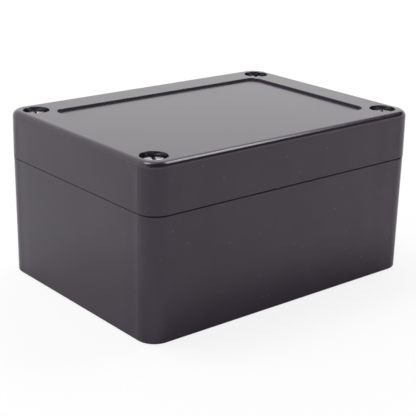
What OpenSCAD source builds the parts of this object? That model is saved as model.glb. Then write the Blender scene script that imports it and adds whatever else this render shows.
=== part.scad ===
// Sealed plastic project box: a deep base, a lid with a recessed panel, a rim seal and four lid screws.
// The origin is on the table, under the middle of the box. X runs along the box, Y across it, Z up.

/* [Box] */
// Length over the lid at the seam
box_l = 110; // [95:1:180]
// Width over the lid at the seam
box_w = 80; // [70:1:140]
// Height from the table to the top of the lid
box_h = 56; // [48:1:90]
// Height of the seam between the base and the lid
seam_z = 40; // [32:0.5:48]
// Open gap at the seam
seam_gap = 0.2; // [0.1:0.05:0.5]
// Radius of the upright corners
corner_r = 6.5; // [5.5:0.5:9]
// Radius round the top edge of the lid
lid_edge_r = 2; // [1:0.25:2.5]
// Radius round the bottom edge of the base
foot_edge_r = 0.6; // [0.3:0.1:1.5]
// Bevel on both sides of the seam
seam_bevel = 0.15; // [0.1:0.05:0.3]
// How far the base stands inside the lid at the seam
base_step = 0.1; // [0:0.05:0.3]
// How much the base draws in from the seam to the bottom, on each side
base_draft = 0.25; // [0:0.05:0.6]
// How much the lid draws in from the seam to the top, on each side
lid_draft = 0.12; // [0:0.02:0.4]

/* [Walls] */
// Wall of the base at the seam
wall_t = 3; // [2.8:0.1:4]
// Floor of the base
floor_t = 3; // [2.5:0.1:5]
// Roof of the lid, round the recessed panel
roof_t = 3; // [2.5:0.1:5]
// Radius of the upright inner corners next to the screw wells
cavity_r = 3; // [2:0.5:5]

/* [Recessed panel] */
// Flat border round the recess
recess_margin = 11.3; // [11:0.1:20]
// Depth of the recess
recess_depth = 0.8; // [0.3:0.1:1.2]
// Radius of the corners of the recess
recess_r = 3.8; // [3:0.2:8]

/* [Lid screws] */
// Distance of a lid screw from the end face
screw_inset_x = 7.1; // [6.5:0.1:10]
// Distance of a lid screw from the side face
screw_inset_y = 8; // [7:0.1:10]
// Outside diameter of the screw thread
screw_d = 3.9; // [2.9:0.1:3.9]
// How far the screw reaches below the seam
screw_reach = 7.2; // [4:0.1:9]
// Diameter of the screw head
head_d = 7; // [5.5:0.1:8]
// Height of the screw head
head_h = 2.3; // [1.8:0.1:3]
// Bore in the lid that the head sinks into
counterbore_d = 8.6; // [8:0.1:9.4]
// Depth of that bore
counterbore_depth = 3.2; // [2.5:0.1:5]
// Clearance hole in the lid for the screw
screw_hole_d = 4.5; // [4.2:0.1:5]

/* [Brass inserts] */
// Outside diameter of an insert
insert_d = 5.6; // [5.2:0.1:6.5]
// Length of an insert
insert_l = 8; // [5:0.5:10]
// Room between the screw and the bore of the insert, on each side
thread_clearance = 0.05; // [0.02:0.01:0.1]

/* [Wall mounting holes] */
// Distance of a mounting hole from the end face
mount_inset_x = 17.5; // [16.5:0.5:24]
// Hole for the mounting screw
mount_hole_d = 4.3; // [3.2:0.1:5]
// Well that takes the head of the mounting screw and the screwdriver
well_d = 8.6; // [7:0.1:9]
// Wall left between a well and the inside of the box
well_wall = 2.3; // [1.8:0.1:3]

/* [Rim seal] */
// Width of the tongue on the rim of the base
tongue_t = 1.6; // [1.2:0.1:1.8]
// Height of the tongue over the seam
tongue_h = 2.2; // [1.5:0.1:3]
// Depth of the groove in the lid, above the seam
groove_depth = 3.6; // [3:0.1:5]
// Room on each side of the tongue in the groove
groove_clearance = 0.15; // [0.1:0.05:0.2]
// Room on each side of the gasket in the groove
gasket_clearance = 0.05; // [0.02:0.01:0.1]
// Thickness of the locating lip inside the groove
lip_t = 1.65; // [1.2:0.05:2]
// How far the lip reaches down into the base
lip_reach = 1.5; // [0.5:0.1:3]

/* [Circuit board mounts] */
// Distance of a corner boss from the end face
boss_inset_x = 13; // [12:0.5:20]
// Distance of a corner boss from the side face
boss_inset_y = 20; // [18.5:0.5:24]
// Distance of a middle boss from the side face
middle_boss_inset = 10; // [9:0.5:18]
// Outside diameter of a boss
boss_d = 6; // [5:0.5:8]
// Height of a boss over the floor
boss_h = 5; // [3:0.5:10]
// Pilot hole for a self-tapping screw
pilot_d = 2.6; // [2:0.1:3]
// Thickness of a board guide rib
guide_t = 1.2; // [1:0.1:2]
// How far a guide rib stands out of the wall
guide_reach = 1.6; // [1:0.1:2.4]
// Slot between the two ribs of a pair
guide_slot = 1.8; // [1.6:0.1:2.4]
// Distance from one pair of guide ribs to the next
guide_pitch = 12; // [8:1:14]
// Distance from the top of the guide ribs to the locating lip of the lid
guide_top_room = 3; // [1:0.5:10]

/* [Hidden] */
$fn = 96;
over = 1; // how far a cutting solid runs past the face it cuts
root = 0.6; // how far a rib or boss is rooted in its wall or floor

plastic_colour = "#3b383f";
seal_colour = "#1c1c1e";
brass_colour = "#b5903c";
steel_colour = "#c9ccd0";

// Corner signs, anticlockwise from the corner at -X -Y
CORNERS = [[-1, -1], [1, -1], [1, 1], [-1, 1]];
// Turn of the slot in each screw head, as four hand-driven screws stop
HEAD_TURNS = [63, 128, 44, 155];

lid_z = seam_z + seam_gap;
screw_x = box_l / 2 - screw_inset_x;
screw_y = box_w / 2 - screw_inset_y;
mount_x = box_l / 2 - mount_inset_x;
boss_x = box_l / 2 - boss_inset_x;
boss_y = box_w / 2 - boss_inset_y;
seat_z = box_h - counterbore_depth;
screw_l = seat_z - seam_z + screw_reach; // under the head
tongue_top = seam_z + tongue_h;
groove_top = seam_z + groove_depth;
insert_bore_d = screw_d + 2 * thread_clearance;

// The cavity goes round each screw and well, which so stay outside the seal
notch_r = well_d / 2 + well_wall;
notch_x = mount_inset_x - wall_t + notch_r;
notch_y = screw_inset_y - wall_t + notch_r;
tongue_out = tongue_t;
groove_out = tongue_t + groove_clearance;
groove_in = -groove_clearance;
lip_in = groove_in - lip_t;

// ---- Shared shapes

// Half of the side profile, from a corner centre outwards: drawn-in wall, round top edge
module top_edge_profile(r_low, r_top, h, edge_r, bevel) {
  polygon([[0, 0], [r_low - bevel, 0], [r_low, bevel], [r_top, h - edge_r], [0, h - edge_r]]);
  translate([0, h - edge_r]) square([r_top - edge_r, edge_r]);
  intersection() {
    translate([r_top - edge_r, h - edge_r]) circle(edge_r);
    translate([0, h - edge_r]) square([r_top, edge_r]);
  }
}

// A block with rounded upright corners, whose edge profile runs all the way round it
module profiled_block(l, w, h, r) {
  crossing_strip(l - 2 * r, w / 2 - r, h) children();
  rotate(90) crossing_strip(w - 2 * r, l / 2 - r, h) children();
  for (corner = CORNERS)
    mirror([corner[0] < 0 ? 1 : 0, 0, 0]) mirror([0, corner[1] < 0 ? 1 : 0, 0])
      translate([l / 2 - r, w / 2 - r, 0]) rotate_extrude(angle = 90) children();
}

module crossing_strip(length, half_core, h) {
  translate([-length / 2, 0, 0]) rotate([90, 0, 90]) linear_extrude(length) {
    translate([half_core, 0]) children();
    mirror([1, 0]) translate([half_core, 0]) children();
    translate([-half_core, 0]) square([2 * half_core, h]);
  }
}

module rounded_rectangle(l, w, r) {
  square([l, w - 2 * r], center = true);
  square([l - 2 * r, w], center = true);
  for (corner = CORNERS)
    translate([corner[0] * (l / 2 - r), corner[1] * (w / 2 - r)]) circle(r);
}

// The inside of the box, grown outwards by d: a rectangle that steps in round each screw and well
module cavity_outline(d = 0) {
  l = box_l - 2 * wall_t + 2 * d;
  w = box_w - 2 * wall_t + 2 * d;
  r_out = cavity_r + d;
  r_in = notch_r - d;
  rounded_rectangle(l, w - 2 * notch_y, r_out);
  rounded_rectangle(l - 2 * notch_x, w, r_out);
  for (corner = CORNERS)
    mirror([corner[0] < 0 ? 1 : 0, 0]) mirror([0, corner[1] < 0 ? 1 : 0])
      translate([l / 2 - notch_x, w / 2 - notch_y]) difference() {
        square(r_in);
        translate([r_in, r_in]) circle(r_in);
      }
}

// A wall that follows the cavity outline, from one offset to another
module rim_wall(inner, outer, z_low, z_high) {
  translate([0, 0, z_low]) linear_extrude(z_high - z_low) difference() {
    cavity_outline(outer);
    cavity_outline(inner);
  }
}

module at_screws() {
  for (corner = CORNERS) translate([corner[0] * screw_x, corner[1] * screw_y, 0]) children();
}

module at_wells() {
  for (corner = CORNERS) translate([corner[0] * mount_x, corner[1] * screw_y, 0]) children();
}

// ---- Base

module base() {
  color(plastic_colour) {
    difference() {
      base_shell();
      at_screws() screw_socket();
      at_wells() mounting_well();
    }
    rim_wall(0, tongue_out, seam_z - root, tongue_top);
    board_mounts();
    guide_ribs();
  }
}

module base_shell() {
  difference() {
    profiled_block(box_l - 2 * base_step, box_w - 2 * base_step, seam_z, corner_r - base_step)
      mirror([0, 1]) translate([0, -seam_z])
        top_edge_profile(
          corner_r - base_step, corner_r - base_step - base_draft, seam_z, foot_edge_r, seam_bevel
        );
    translate([0, 0, floor_t]) linear_extrude(seam_z) cavity_outline();
  }
}

// Hole for a brass insert, with room below it for the tip of the screw
module screw_socket() {
  tip_room = 2;
  tip_clearance = 0.2;
  translate([0, 0, seam_z - screw_reach - tip_room])
    cylinder(h = box_h, d = insert_bore_d + 2 * tip_clearance);
  translate([0, 0, seam_z - insert_l]) cylinder(h = insert_l + over, d = insert_d);
}

module mounting_well() {
  translate([0, 0, floor_t]) cylinder(h = seam_z, d = well_d);
  translate([0, 0, -over]) cylinder(h = floor_t + 2 * over, d = mount_hole_d);
}

module board_mounts() {
  for (corner = CORNERS) translate([corner[0] * boss_x, corner[1] * boss_y, floor_t]) board_boss();
  for (side = [-1, 1]) translate([0, side * (box_w / 2 - middle_boss_inset), floor_t]) board_boss();
}

module board_boss() {
  difference() {
    translate([0, 0, -root]) cylinder(h = boss_h + root, d = boss_d);
    cylinder(h = boss_h + over, d = pilot_d);
  }
}

// Pairs of upright ribs that hold the edge of a circuit board
module guide_ribs() {
  rib_h = seam_z - lip_reach - guide_top_room - floor_t;
  for (side = [0, 180], step = [-1.5, -0.5, 0.5, 1.5])
    rotate(side) translate([step * guide_pitch, box_w / 2 - wall_t, floor_t]) rib_pair(rib_h);
  for (side = [90, 270], step = [-1, 0, 1])
    rotate(side) translate([step * guide_pitch, box_l / 2 - wall_t, floor_t]) rib_pair(rib_h);
}

module rib_pair(rib_h) {
  for (side = [0, 1]) mirror([side, 0, 0])
    translate([guide_slot / 2, -guide_reach, -root]) cube([guide_t, guide_reach + root, rib_h + root]);
}

// ---- Lid

module lid() {
  color(plastic_colour) {
    difference() {
      translate([0, 0, lid_z]) profiled_block(box_l, box_w, box_h - lid_z, corner_r)
        top_edge_profile(corner_r, corner_r - lid_draft, box_h - lid_z, lid_edge_r, seam_bevel);
      translate([0, 0, lid_z - over])
        linear_extrude(box_h - roof_t - lid_z + over) cavity_outline(lip_in);
      rim_wall(groove_in, groove_out, lid_z - over, groove_top);
      panel_recess();
      at_screws() lid_screw_hole();
    }
    rim_wall(lip_in, groove_in, seam_z - lip_reach, lid_z + root);
  }
}

module panel_recess() {
  edge_bevel = 0.15;
  l = box_l - 2 * recess_margin;
  w = box_w - 2 * recess_margin;
  translate([0, 0, box_h - recess_depth]) profiled_block(l, w, recess_depth + over, recess_r)
    polygon([
      [0, 0],
      [recess_r, 0],
      [recess_r, recess_depth - edge_bevel],
      [recess_r + edge_bevel, recess_depth],
      [recess_r + edge_bevel, recess_depth + over],
      [0, recess_depth + over]
    ]);
}

module lid_screw_hole() {
  edge_bevel = 0.15;
  translate([0, 0, seam_z - over]) cylinder(h = box_h, d = screw_hole_d);
  translate([0, 0, seat_z]) cylinder(h = box_h, d = counterbore_d);
  translate([0, 0, box_h - edge_bevel])
    cylinder(h = edge_bevel, d1 = counterbore_d, d2 = counterbore_d + 2 * edge_bevel);
}

// ---- Seal

// The gasket fills the top of the groove, and the tongue of the base presses on it
module gasket() {
  color(seal_colour)
    rim_wall(groove_in + gasket_clearance, groove_out - gasket_clearance, tongue_top, groove_top);
}

// ---- Fasteners

module insert(corner) {
  translate([corner[0] * screw_x, corner[1] * screw_y, seam_z - insert_l])
    color(brass_colour) rotate_extrude() insert_profile();
}

// Two knurled bands with a groove between them, and a bevel at each end
module insert_profile() {
  bevel = 0.4;
  groove_deep = 0.5;
  groove_wide = 1.2;
  r = insert_d / 2;
  r_bore = insert_bore_d / 2;
  top = insert_l - seam_gap;
  polygon([
    [r_bore, 0],
    [r - bevel, 0],
    [r, bevel],
    [r, (top - groove_wide) / 2],
    [r - groove_deep, (top - groove_wide) / 2],
    [r - groove_deep, (top + groove_wide) / 2],
    [r, (top + groove_wide) / 2],
    [r, top],
    [r_bore + bevel, top],
    [r_bore, top - bevel]
  ]);
}

module lid_screw(corner, turn) {
  translate([corner[0] * screw_x, corner[1] * screw_y, seat_z]) color(steel_colour) rotate(turn)
    difference() {
      rotate_extrude() screw_profile();
      translate([0, 0, head_h]) drive_recess();
    }
}

// Flat head with a round top edge on a plain shank with a tapered tip
module screw_profile() {
  edge_r = 0.7;
  tip = 0.6;
  intersection() {
    union() {
      square([head_d / 2, head_h - edge_r]);
      square([head_d / 2 - edge_r, head_h]);
      translate([head_d / 2 - edge_r, head_h - edge_r]) circle(edge_r);
    }
    square([head_d / 2, head_h]);
  }
  polygon([
    [0, -screw_l],
    [screw_d / 2 - tip, -screw_l],
    [screw_d / 2, -screw_l + tip],
    [screw_d / 2, over / 2],
    [0, over / 2]
  ]);
}

// Tapered cross for a cross-point driver, and a slot right across the head for a flat one
module drive_recess() {
  cross_depth = 1.5;
  cross_w = 0.95;
  span_top = 4.3;
  span_bottom = 2.4;
  span_over = span_top + (span_top - span_bottom) * over / cross_depth;
  slot_depth = 0.8;
  slot_w = 1.2;
  translate([0, 0, -cross_depth]) intersection() {
    cylinder(h = cross_depth + over, d1 = span_bottom, d2 = span_over);
    for (turn = [0, 90]) rotate(turn)
      translate([-head_d / 2, -cross_w / 2, 0]) cube([head_d, cross_w, cross_depth + over]);
  }
  translate([-head_d, -slot_w / 2, -slot_depth]) cube([2 * head_d, slot_w, slot_depth + over]);
}

base();
lid();
gasket();
insert(CORNERS[0]);  // insert_1
insert(CORNERS[1]);  // insert_2
insert(CORNERS[2]);  // insert_3
insert(CORNERS[3]);  // insert_4
lid_screw(CORNERS[0], HEAD_TURNS[0]);  // lid_screw_1
lid_screw(CORNERS[1], HEAD_TURNS[1]);  // lid_screw_2
lid_screw(CORNERS[2], HEAD_TURNS[2]);  // lid_screw_3
lid_screw(CORNERS[3], HEAD_TURNS[3]);  // lid_screw_4
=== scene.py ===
"""The looks of a sealed plastic project box, built round its CAD frame. Metres, +Z up, box on z = 0."""

from math import cos, floor, pi, radians, sin

import bmesh
import bpy
from mathutils import Matrix, Vector


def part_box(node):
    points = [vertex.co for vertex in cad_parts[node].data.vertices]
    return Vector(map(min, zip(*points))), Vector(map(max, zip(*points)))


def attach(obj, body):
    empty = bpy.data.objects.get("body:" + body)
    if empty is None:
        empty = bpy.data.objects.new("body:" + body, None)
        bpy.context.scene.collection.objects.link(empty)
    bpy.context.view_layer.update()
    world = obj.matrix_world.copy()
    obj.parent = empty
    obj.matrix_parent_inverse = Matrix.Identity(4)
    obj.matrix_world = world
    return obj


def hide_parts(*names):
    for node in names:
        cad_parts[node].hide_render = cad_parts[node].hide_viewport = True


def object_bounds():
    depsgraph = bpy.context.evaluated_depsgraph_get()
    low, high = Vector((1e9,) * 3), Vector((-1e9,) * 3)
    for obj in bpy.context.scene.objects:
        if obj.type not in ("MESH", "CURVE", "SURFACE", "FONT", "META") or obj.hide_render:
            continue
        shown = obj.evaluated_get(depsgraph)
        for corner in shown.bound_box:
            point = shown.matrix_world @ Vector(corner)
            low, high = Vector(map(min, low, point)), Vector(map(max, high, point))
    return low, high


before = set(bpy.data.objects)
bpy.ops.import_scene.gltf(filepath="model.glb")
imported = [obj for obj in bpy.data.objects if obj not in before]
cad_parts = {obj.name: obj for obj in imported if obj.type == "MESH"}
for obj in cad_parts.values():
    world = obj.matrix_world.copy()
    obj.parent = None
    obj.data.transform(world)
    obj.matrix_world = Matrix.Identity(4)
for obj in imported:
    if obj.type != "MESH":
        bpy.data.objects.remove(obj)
cad_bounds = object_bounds()
MM = 0.001

# Camera, from the box's middle. Azimuth 0 looks along +Y.
CAMERA_AZIMUTH = radians(-39.75)
CAMERA_ELEVATION = radians(19.13)
CAMERA_ROLL = radians(1.23)
CAMERA_DISTANCE = 384.8 * MM
CAMERA_LENS_MM = 97.87
AIM_HEIGHT = 25 * MM
AIM_RIGHT = -0.59 * MM
AIM_UP = -3.49 * MM

# Values that part.scad gives its hidden forms, which a node's box can't tell
WALL_T = 3 * MM
CAVITY_R = 3 * MM
NOTCH_R = 6.6 * MM
NOTCH_X = 21.1 * MM
NOTCH_Y = 11.6 * MM
HEAD_H = 2.3 * MM
HEAD_TURNS = [63, 128, 44, 155]

# Colours, linear
PLASTIC = (0.0270, 0.0172, 0.0330)
PLASTIC_MOTTLE = (0.0310, 0.0202, 0.0385)
DUST = (0.34, 0.33, 0.32)
STEEL = (0.72, 0.71, 0.69)
BRASS = (0.62, 0.44, 0.18)
RUBBER = (0.012, 0.012, 0.013)
FLOOR_WHITE = (0.9, 0.9, 0.9)


# ---- Small helpers

def centre_of(node):
    low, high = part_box(node)
    return (low + high) / 2


def new_object(name, mesh):
    piece = bpy.data.objects.new(name, mesh)
    bpy.context.scene.collection.objects.link(piece)
    return piece


def mesh_from(name, points, faces):
    mesh = bpy.data.meshes.new(name)
    mesh.from_pydata(points, [], faces)
    mesh.validate()
    return mesh


def shade(mesh, angle=30):
    mesh.shade_smooth()
    mesh.set_sharp_from_angle(angle=radians(angle))
    return mesh


def applied(piece):
    """The piece's mesh with its modifiers made real; the piece itself goes."""
    graph = bpy.context.evaluated_depsgraph_get()
    mesh = bpy.data.meshes.new_from_object(piece.evaluated_get(graph))
    bpy.data.objects.remove(piece)
    return mesh


def ring_grid(rows, segments, closed_ends=True):
    """Points and faces of a tube: rows(i) gives a function of the angle that returns (radius, height)."""
    points = []
    for radius_at in rows:
        for s in range(segments):
            a = 2 * pi * s / segments
            r, z = radius_at(a)
            points.append((r * cos(a), r * sin(a), z))
    count = len(rows)
    faces = [
        (i * segments + s, i * segments + (s + 1) % segments,
         (i + 1) * segments + (s + 1) % segments, (i + 1) * segments + s)
        for i in range(count - 1) for s in range(segments)
    ]
    if closed_ends:
        faces.append(tuple(range(segments))[::-1])
        faces.append(tuple((count - 1) * segments + s for s in range(segments)))
    else:
        last = (count - 1) * segments
        faces += [(last + s, last + (s + 1) % segments, (s + 1) % segments, s) for s in range(segments)]
    return points, faces


def plain_row(r, z):
    return lambda a: (r, z)


def zigzag(t):
    """Goes from 0 to 1 and back as t goes up by one."""
    t = t - floor(t)
    return 1 - abs(2 * t - 1)


# ---- Node materials

class Nodes:
    """Adds nodes to one material or world and links them."""

    def __init__(self, owner):
        owner.use_nodes = True
        self.tree = owner.node_tree
        self.tree.nodes.clear()

    def add(self, kind, **values):
        node = self.tree.nodes.new(kind)
        for key, value in values.items():
            setattr(node, key, value)
        return node

    def put(self, socket, value):
        if isinstance(value, bpy.types.NodeSocket):
            self.tree.links.new(value, socket)
        else:
            socket.default_value = value

    def math(self, operation, a, b=0.0, c=0.0, clamp=False):
        node = self.add("ShaderNodeMath", operation=operation, use_clamp=clamp)
        for socket, value in zip(node.inputs, (a, b, c)):
            self.put(socket, value)
        return node.outputs[0]

    def mix(self, factor, a, b):
        node = self.add("ShaderNodeMix", data_type="RGBA")
        self.put(node.inputs["Factor"], factor)
        self.put(node.inputs["A"], a if isinstance(a, bpy.types.NodeSocket) else (*a, 1))
        self.put(node.inputs["B"], b if isinstance(b, bpy.types.NodeSocket) else (*b, 1))
        return node.outputs["Result"]

    def mapped(self, value, low, high, to_low=0.0, to_high=1.0):
        node = self.add("ShaderNodeMapRange", interpolation_type="SMOOTHSTEP")
        for socket, v in zip(node.inputs, (value, low, high, to_low, to_high)):
            self.put(socket, v)
        return node.outputs[0]

    def place(self, turn=(0, 0, 0), stretch=(1, 1, 1)):
        coordinates = self.add("ShaderNodeTexCoord").outputs["Object"]
        node = self.add("ShaderNodeMapping")
        self.put(node.inputs["Vector"], coordinates)
        self.put(node.inputs["Rotation"], [radians(t) for t in turn])
        self.put(node.inputs["Scale"], stretch)
        return node.outputs[0]

    def noise(self, scale, detail=2.0, roughness=0.5, where=None):
        node = self.add("ShaderNodeTexNoise")
        self.put(node.inputs["Vector"], where or self.place())
        self.put(node.inputs["Scale"], scale)
        self.put(node.inputs["Detail"], detail)
        self.put(node.inputs["Roughness"], roughness)
        return node.outputs["Fac"]

    def specks(self, scale, radius, where=None):
        """Dots where a scattered point lies closer than radius, as a share of the cell."""
        node = self.add("ShaderNodeTexVoronoi", feature="F1")
        self.put(node.inputs["Vector"], where or self.place())
        self.put(node.inputs["Scale"], scale)
        return self.mapped(node.outputs["Distance"], radius, radius * 0.5)

    def axes(self):
        node = self.add("ShaderNodeSeparateXYZ")
        self.put(node.inputs[0], self.place())
        return node.outputs

    def gauss(self, value, middle, width):
        off = self.math("DIVIDE", self.math("SUBTRACT", value, middle), width)
        return self.math("EXPONENT", self.math("MULTIPLY", self.math("MULTIPLY", off, off), -1.0))

    def bump(self, height, strength=1.0, normal=None):
        node = self.add("ShaderNodeBump")
        self.put(node.inputs["Strength"], strength)
        self.put(node.inputs["Distance"], 1.0)
        self.put(node.inputs["Height"], height)
        if normal:
            self.put(node.inputs["Normal"], normal)
        return node.outputs[0]

    def surface(self, shader):
        self.put(self.add("ShaderNodeOutputMaterial").inputs["Surface"], shader)

    def principled(self, **values):
        node = self.add("ShaderNodeBsdfPrincipled")
        for key, value in values.items():
            name = key.replace("_", " ")
            if name == "Base Color" and isinstance(value, tuple):
                value = (*value, 1)
            self.put(node.inputs[name], value)
        return node.outputs[0]


def sink_marks(n):
    """How far the outer walls sink in over the thick columns round the screws and wells, in metres."""
    column_x = centre_of("lid_screw_3").x
    column_y = centre_of("lid_screw_3").y
    well_x = column_x - 10.4 * MM
    wide = 3.2 * MM
    deep = 0.11 * MM
    x, y, z = n.axes()
    x, y = n.math("ABSOLUTE", x), n.math("ABSOLUTE", y)
    on_side = n.mapped(y, 37.5 * MM, 39.3 * MM)
    on_end = n.mapped(x, 52.5 * MM, 54.3 * MM)
    below_roof = n.mapped(z, 54 * MM, 50 * MM)
    along = n.math("ADD", n.gauss(x, column_x, wide), n.math("MULTIPLY", n.gauss(x, well_x, wide), 0.7))
    side = n.math("MULTIPLY", along, on_side)
    end = n.math("MULTIPLY", n.gauss(y, column_y, wide), on_end)
    total = n.math("MULTIPLY", n.math("ADD", side, end), below_roof)
    return n.math("MULTIPLY", total, -deep)


def moulded_plastic(name, seed):
    """Satin black ABS: a faint mottle, sink marks, fine grain, specks of dust and a few hairline scratches."""
    material = bpy.data.materials.new(name)
    n = Nodes(material)
    place = n.place(turn=(seed * 17, seed * 29, seed * 11))
    mottle = n.mapped(n.noise(70, 3, 0.55, place), 0.35, 0.65)
    dust = n.math("MAXIMUM", n.specks(260, 0.05, place), n.math("MULTIPLY", n.specks(520, 0.05, place), 0.5))
    hairs = [n.specks(1, 0.05, n.place(turn, (900, 900, 110))) for turn in ((40, 8, 0), (-35, 15, 60))]
    scratch = n.math("MULTIPLY", n.math("MAXIMUM", *hairs), 0.35)
    marks = n.math("MAXIMUM", dust, scratch)
    colour = n.mix(n.math("MULTIPLY", marks, 0.35), n.mix(mottle, PLASTIC, PLASTIC_MOTTLE), DUST)
    cloud = n.noise(38, 2, 0.5, place)
    roughness = n.math("ADD", n.math("MULTIPLY", cloud, 0.06), n.math("MULTIPLY", marks, 0.3))
    waves = n.math("MULTIPLY", n.noise(30, 1, 0.4, place), 0.02 * MM)
    grain = n.math("MULTIPLY", n.noise(2600, 2, 0.6, place), 0.0012 * MM)
    height = n.math("ADD", n.math("ADD", sink_marks(n), waves), grain)
    n.surface(n.principled(
        Base_Color=colour,
        Roughness=n.math("ADD", roughness, 0.16),
        IOR=1.54,
        Normal=n.bump(height),
    ))
    return material


def plated_steel():
    material = bpy.data.materials.new("plated_steel")
    n = Nodes(material)
    tone = n.mapped(n.noise(900, 2), 0.3, 0.7)
    grime = n.mapped(n.noise(1500, 3), 0.55, 0.75)
    colour = n.mix(n.math("MULTIPLY", grime, 0.5), n.mix(tone, STEEL, (0.6, 0.6, 0.59)), (0.16, 0.15, 0.14))
    roughness = n.math("ADD", n.math("MULTIPLY", n.noise(700, 2), 0.16), 0.12)
    n.surface(n.principled(
        Base_Color=colour,
        Metallic=1.0,
        Roughness=roughness,
        Normal=n.bump(n.math("MULTIPLY", n.noise(3000, 2), 0.002 * MM)),
    ))
    return material


def turned_brass():
    material = bpy.data.materials.new("turned_brass")
    n = Nodes(material)
    tarnish = n.mapped(n.noise(500, 3), 0.4, 0.7)
    rings = n.noise(1, 2, 0.5, n.place(stretch=(200, 200, 6000)))
    n.surface(n.principled(
        Base_Color=n.mix(tarnish, BRASS, (0.42, 0.27, 0.1)),
        Metallic=1.0,
        Roughness=n.math("ADD", n.math("MULTIPLY", rings, 0.2), 0.18),
        Normal=n.bump(n.math("MULTIPLY", rings, 0.003 * MM)),
    ))
    return material


def soft_rubber():
    material = bpy.data.materials.new("soft_rubber")
    n = Nodes(material)
    bloom = n.mapped(n.noise(600, 3), 0.45, 0.7)
    n.surface(n.principled(
        Base_Color=n.mix(bloom, RUBBER, (0.03, 0.03, 0.031)),
        Roughness=n.math("ADD", n.math("MULTIPLY", bloom, 0.12), 0.55),
        IOR=1.52,
        Normal=n.bump(n.math("MULTIPLY", n.noise(2500, 2), 0.006 * MM)),
    ))
    return material


# ---- Lid screws

def screw_mesh():
    """One lid screw, its seat at z = 0: slotted cross-point head, plain neck, rolled thread and tapered tip."""
    low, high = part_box("lid_screw_1")
    head_r = (high.x - low.x) / 2
    length = high.z - low.z - HEAD_H
    shank = threaded_shank(1.95 * MM, length)
    head = head_blank(head_r)
    for cutter in (cross_cutter(), slot_cutter(head_r)):
        cut(head, cutter, "DIFFERENCE")
    soften = head.modifiers.new("soften", "BEVEL")
    soften.width = 0.06 * MM
    soften.segments = 2
    soften.limit_method = "ANGLE"
    soften.angle_limit = radians(35)
    head = new_object("head", applied(head))
    cut(head, shank, "UNION")
    mesh = applied(head)
    mesh.name = "lid_screw"
    return shade(mesh, 32)


def cut(body, tool, operation):
    """Joins or subtracts the tool, which then goes."""
    change = body.modifiers.new(operation.lower(), "BOOLEAN")
    change.operation = operation
    change.solver = "EXACT"
    change.object = tool
    mesh = bpy.data.meshes.new_from_object(body.evaluated_get(bpy.context.evaluated_depsgraph_get()))
    body.modifiers.clear()
    body.data = mesh
    bpy.data.objects.remove(tool)


def head_blank(head_r):
    edge = 0.7 * MM
    dome = 0.12 * MM
    top = HEAD_H - dome
    rows = [plain_row(0.02 * MM, -0.05 * MM), plain_row(head_r - 0.1 * MM, -0.0 * MM), plain_row(head_r, 0.1 * MM)]
    for i in range(9):
        a = pi / 2 * i / 8
        rows.append(plain_row(head_r - edge + edge * cos(a), top - edge + edge * sin(a)))
    for i in range(1, 6):
        share = 1 - i / 5
        r = max(0.02 * MM, (head_r - edge) * share)
        rows.append(plain_row(r, top + dome * (1 - share ** 2)))
    return new_object("head", mesh_from("head", *ring_grid(rows, 96)))


def cross_outline(span, width, flare):
    """The twelve corners of a cross, whose wings are a little narrower at their ends."""
    points = []
    for quarter in range(4):
        turn = Matrix.Rotation(quarter * pi / 2, 2)
        for x, y in ((width / 2, -width / 2), (span / 2, -width / 2 * flare), (span / 2, width / 2 * flare)):
            points.append(turn @ Vector((x, y)))
    return points


def cross_cutter():
    levels = [(HEAD_H + 0.5 * MM, 4.7, 1.05), (HEAD_H, 4.3, 0.95), (HEAD_H - 1.2 * MM, 2.7, 0.8),
              (HEAD_H - 1.5 * MM, 1.2, 0.6)]
    points = []
    for z, span, width in levels:
        points += [(*corner, z) for corner in cross_outline(span * MM, width * MM, 0.86)]
    count = 12
    faces = [tuple(range(count))]
    for i in range(len(levels) - 1):
        faces += [(i * count + s, (i + 1) * count + s, (i + 1) * count + (s + 1) % count,
                   i * count + (s + 1) % count) for s in range(count)]
    faces.append(tuple((len(levels) - 1) * count + s for s in range(count))[::-1])
    return new_object("cross", mesh_from("cross", points, faces))


def slot_cutter(head_r):
    shape = bmesh.new()
    bmesh.ops.create_cube(shape, size=1)
    size = Vector((3 * head_r, 1.2 * MM, 2 * MM))
    bmesh.ops.scale(shape, vec=size, verts=shape.verts)
    bmesh.ops.translate(shape, vec=(0, 0, HEAD_H - 0.8 * MM + size.z / 2), verts=shape.verts)
    mesh = bpy.data.meshes.new("slot")
    shape.to_mesh(mesh)
    return new_object("slot", mesh)


def threaded_shank(crest_r, length):
    """A closed shank from inside the head to the tip, with an M4 thread below a short neck."""
    pitch = 0.7 * MM
    depth = 0.36 * MM
    neck = 1.6 * MM
    tip = 0.6 * MM
    steps = 10
    per_turn = 40

    def thread_row(z):
        fade = min(1, (-neck - z) / pitch, (z + length) / tip)

        def radius_at(a):
            ridge = min(1, 1.25 * zigzag(z / pitch - a / (2 * pi)))
            r = crest_r - depth * (1 - ridge) * max(fade, 0)
            return r - max(0, -length + tip - z) * 0.9, z
        return radius_at

    rows = [plain_row(0.05 * MM, 0.6 * MM), plain_row(crest_r - 0.1 * MM, 0.6 * MM)]
    rows += [plain_row(crest_r - 0.1 * MM, 0), plain_row(crest_r, -0.1 * MM)]
    z = -neck
    while z > -length + 0.001 * MM:
        rows.append(thread_row(z))
        z -= pitch / steps
    rows += [plain_row(crest_r - tip, -length), plain_row(0.05 * MM, -length)]
    points, faces = ring_grid(rows, per_turn)
    faces = [face[::-1] for face in faces]
    return new_object("shank", mesh_from("shank", points, faces))


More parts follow.
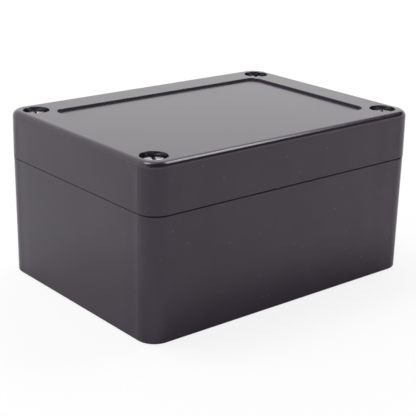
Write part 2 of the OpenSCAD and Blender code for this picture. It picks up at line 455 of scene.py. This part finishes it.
def make_screws(material):
    mesh = screw_mesh()
    mesh.materials.clear()
    mesh.materials.append(material)
    for i, turn in enumerate(HEAD_TURNS, start=1):
        node = f"lid_screw_{i}"
        piece = new_object(f"screw_{i}", mesh)
        place = centre_of(node)
        piece.location = (place.x, place.y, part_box(node)[1].z - HEAD_H)
        piece.rotation_euler = (0, 0, radians(turn))
        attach(piece, f"screw_{i}")
        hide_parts(node)


# ---- Brass inserts

def insert_mesh():
    """One insert, its foot at z = 0: two diamond-knurled bands and a threaded bore."""
    low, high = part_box("insert_1")
    outer = (high.x - low.x) / 2
    height = high.z - low.z
    bore = 2 * MM
    bevel = 0.4 * MM
    groove = 0.5 * MM
    groove_half = 0.6 * MM
    pitch = 0.7 * MM

    def knurled(z):
        def radius_at(a):
            diamonds = zigzag(24 * a / (2 * pi) + z / (0.9 * MM)) * zigzag(24 * a / (2 * pi) - z / (0.9 * MM))
            return outer - 0.22 * MM * diamonds, z
        return radius_at

    def threaded(z):
        fade = min(1, (height - bevel - z) / pitch + 0.2, z / pitch + 0.2)
        return lambda a: (bore + 0.2 * MM * fade * zigzag(z / pitch - a / (2 * pi)), z)

    rows = [plain_row(bore + 0.1 * MM, 0), plain_row(outer - bevel, 0)]
    for start, end in ((bevel, height / 2 - groove_half), (height / 2 + groove_half, height - bevel / 2)):
        steps = 16
        if start > bevel:
            rows.append(plain_row(outer - groove, start - 0.02 * MM))
        rows += [knurled(start + (end - start) * i / steps) for i in range(steps + 1)]
        if start == bevel:
            rows.append(plain_row(outer - groove, end + 0.02 * MM))
    rows += [plain_row(outer - bevel / 2, height), plain_row(bore + bevel, height)]
    steps = int((height - bevel) / pitch * 8)
    rows += [threaded((height - bevel) * (1 - i / steps)) for i in range(steps)]
    mesh = mesh_from("insert", *ring_grid(rows, 96, closed_ends=False))
    return shade(mesh, 40)


def make_inserts(material):
    mesh = insert_mesh()
    mesh.materials.append(material)
    for i in range(1, 5):
        node = f"insert_{i}"
        piece = new_object(f"brass_insert_{i}", mesh)
        place = centre_of(node)
        piece.location = (place.x, place.y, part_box(node)[0].z)
        piece.rotation_euler = (0, 0, i * 0.7)
        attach(piece, "base")
        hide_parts(node)


# ---- Gasket

def seal_route(offset):
    """Points and outward directions round the rim, which steps in round each screw and well."""
    low, high = cad_bounds
    half_x = (high.x - low.x) / 2 - WALL_T
    half_y = (high.y - low.y) / 2 - WALL_T
    route = []

    def arc(cx, cy, r, start, end, outward):
        steps = 10
        for i in range(steps + 1):
            a = radians(start + (end - start) * i / steps)
            ray = Vector((cos(a), sin(a)))
            route.append((Vector((cx, cy)) + ray * (r + offset * outward), ray * outward))

    def corner(sx, sy, order):
        """The three arcs of one corner, in the +X +Y quadrant's form, mirrored by sx and sy."""
        arcs = [
            (half_x - CAVITY_R, half_y - NOTCH_Y - CAVITY_R, CAVITY_R, 0, 90, 1),
            (half_x - NOTCH_X + NOTCH_R, half_y - NOTCH_Y + NOTCH_R, NOTCH_R, 270, 180, -1),
            (half_x - NOTCH_X - CAVITY_R, half_y - CAVITY_R, CAVITY_R, 0, 90, 1),
        ]
        for cx, cy, r, start, end, outward in arcs[::order]:
            if order < 0:
                start, end = end, start
            if sx < 0:
                start, end = 180 - start, 180 - end
            if sy < 0:
                start, end = -start, -end
            arc(cx * sx, cy * sy, r, start, end, outward)

    corner(1, 1, 1)
    corner(-1, 1, -1)
    corner(-1, -1, 1)
    corner(1, -1, -1)
    return route


def make_gasket(material):
    """A soft cord with rounded sides, pressed flat by the tongue, in the groove of the lid."""
    low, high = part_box("gasket")
    half_w = 0.9 * MM
    middle = 0.8 * MM
    route = seal_route(middle)
    section = 20
    points = []
    for spot, out in route:
        for s in range(section):
            a = 2 * pi * s / section
            across = half_w * abs(cos(a)) ** 0.55 * (1 if cos(a) >= 0 else -1)
            up = (high.z - low.z) / 2 * abs(sin(a)) ** 0.4 * (1 if sin(a) >= 0 else -1)
            flat = spot + out * across
            points.append((flat.x, flat.y, (low.z + high.z) / 2 + up))
    count = len(route)
    faces = [
        (i * section + s, ((i + 1) % count) * section + s,
         ((i + 1) % count) * section + (s + 1) % section, i * section + (s + 1) % section)
        for i in range(count) for s in range(section)
    ]
    mesh = shade(mesh_from("seal_cord", points, faces), 60)
    mesh.materials.append(material)
    piece = new_object("seal_cord", mesh)
    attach(piece, "lid")
    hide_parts("gasket")


# ---- Mouldings: the CAD nodes keep their shape and get the plastic

def dress(node, material):
    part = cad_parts[node]
    part.data.materials.clear()
    part.data.materials.append(material)


# ---- Studio

def aim_axes(azimuth, elevation):
    """Right, up and back of a viewer who looks at the middle from there."""
    back = Vector((sin(azimuth) * cos(elevation), -cos(azimuth) * cos(elevation), sin(elevation)))
    right = Vector((cos(azimuth), sin(azimuth), 0))
    return right, back.cross(right), back


def make_camera():
    right, up, back = aim_axes(CAMERA_AZIMUTH, CAMERA_ELEVATION)
    aim = Vector((0, 0, AIM_HEIGHT)) + right * AIM_RIGHT + up * AIM_UP
    data = bpy.data.cameras.new("camera")
    data.lens = CAMERA_LENS_MM
    data.sensor_width = 36
    data.clip_start = 0.01
    camera = bpy.data.objects.new("camera", data)
    bpy.context.scene.collection.objects.link(camera)
    right, up = cos(CAMERA_ROLL) * right + sin(CAMERA_ROLL) * up, cos(CAMERA_ROLL) * up - sin(CAMERA_ROLL) * right
    turn = Matrix((right, up, back)).transposed().to_4x4()
    camera.matrix_world = Matrix.Translation(aim + back * CAMERA_DISTANCE) @ turn
    bpy.context.scene.camera = camera


def direction(azimuth, elevation):
    return aim_axes(radians(azimuth), radians(elevation))[2]


def make_softbox(name, azimuth, elevation, distance, width, height, radiance):
    """A rectangular soft light that faces the box. Its power comes from how bright it looks."""
    data = bpy.data.lights.new(name, "AREA")
    data.shape = "RECTANGLE"
    data.size, data.size_y = width, height
    data.energy = radiance * pi * width * height
    lamp = bpy.data.objects.new(name, data)
    bpy.context.scene.collection.objects.link(lamp)
    right, up, back = aim_axes(radians(azimuth), radians(elevation))
    turn = Matrix((right, up, back)).transposed().to_4x4()
    lamp.matrix_world = Matrix.Translation(back * distance + Vector((0, 0, AIM_HEIGHT))) @ turn
    lamp.visible_camera = False


def make_flag(name, azimuths, elevations, material):
    """A black card, bent round the box, that keeps part of the white room out of the reflections."""
    radius = 1.3
    steps_a, steps_e = 24, 10
    points = []
    for i in range(steps_e + 1):
        e = elevations[0] + (elevations[1] - elevations[0]) * i / steps_e
        for j in range(steps_a + 1):
            a = azimuths[0] + (azimuths[1] - azimuths[0]) * j / steps_a
            points.append(direction(a, e) * radius)
    row = steps_a + 1
    faces = [(i * row + j, i * row + j + 1, (i + 1) * row + j + 1, (i + 1) * row + j)
             for i in range(steps_e) for j in range(steps_a)]
    card = new_object(name, mesh_from(name, points, faces))
    card.data.materials.append(material)
    card.visible_camera = False


def black_card():
    material = bpy.data.materials.new("black_card")
    n = Nodes(material)
    fibre = n.noise(300, 2)
    n.surface(n.principled(
        Base_Color=n.mix(fibre, (0.012, 0.012, 0.012), (0.02, 0.02, 0.02)),
        Roughness=1.0,
    ))
    return material


def make_floor():
    """A wide white floor. The camera sees it nearly evenly lit, with the box's soft shadow on it."""
    material = bpy.data.materials.new("white_floor")
    n = Nodes(material)
    ray = n.add("ShaderNodeLightPath").outputs
    paper = n.principled(
        Base_Color=n.mix(n.noise(60, 3), FLOOR_WHITE, (0.88, 0.88, 0.885)),
        Roughness=0.9,
    )
    glow = n.add("ShaderNodeEmission")
    n.put(glow.inputs["Strength"], 1.05)
    share = n.math("MULTIPLY", ray["Is Camera Ray"], 0.8)
    lit = n.add("ShaderNodeMixShader")
    for socket, value in zip(lit.inputs, (share, paper, glow.outputs[0])):
        n.put(socket, value)
    from_below = n.add("ShaderNodeMixShader")
    clear = n.add("ShaderNodeBsdfTransparent").outputs[0]
    facing = n.add("ShaderNodeNewGeometry").outputs["Backfacing"]
    for socket, value in zip(from_below.inputs, (facing, lit.outputs[0], clear)):
        n.put(socket, value)
    n.surface(from_below.outputs[0])
    # It is open under the middle of the box, so that the underside gets light in views from below
    wide = 6
    inset = 2.8 * MM
    high = cad_bounds[1]
    signs = [(-1, -1), (1, -1), (1, 1), (-1, 1)]
    points = [(x * wide, y * wide, 0) for x, y in signs]
    points += [(x * (high.x - inset), y * (high.y - inset), 0) for x, y in signs]
    faces = [(i, (i + 1) % 4, 4 + (i + 1) % 4, 4 + i) for i in range(4)]
    mesh = mesh_from("floor", points, faces)
    mesh.materials.append(material)
    ground = new_object("floor", mesh)
    ground.location.z = -0.02 * MM


def make_world():
    world = bpy.data.worlds.new("studio")
    bpy.context.scene.world = world
    n = Nodes(world)
    ray = n.add("ShaderNodeLightPath").outputs
    seen = n.math("MAXIMUM", ray["Is Camera Ray"], n.math("MAXIMUM", ray["Is Glossy Ray"], ray["Is Transmission Ray"]))
    room = n.add("ShaderNodeBackground")
    n.put(room.inputs["Color"], (1, 1, 1, 1))
    n.put(room.inputs["Strength"], n.math("ADD", n.math("MULTIPLY", seen, 0.1), 1.05))
    n.put(n.add("ShaderNodeOutputWorld").inputs["Surface"], room.outputs[0])


# ---- The scene

make_camera()
make_world()
make_floor()
cards = black_card()
make_flag("flag_front", (-75, 115), (24, 47), cards)
make_flag("flag_top", (-100, 60), (47, 89), cards)
make_flag("flag_right", (60, 125), (64, 89), cards)
make_softbox("softbox_right", 88, 55.5, 1.1, 0.5, 0.26, 6.0)
make_softbox("softbox_left", 215, 68, 1.1, 0.32, 0.34, 8.0)

dress("base", moulded_plastic("base_plastic", 1))
dress("lid", moulded_plastic("lid_plastic", 2))
make_screws(plated_steel())
make_inserts(turned_brass())
make_gasket(soft_rubber())

bpy.context.scene.view_settings.view_transform = "Standard"
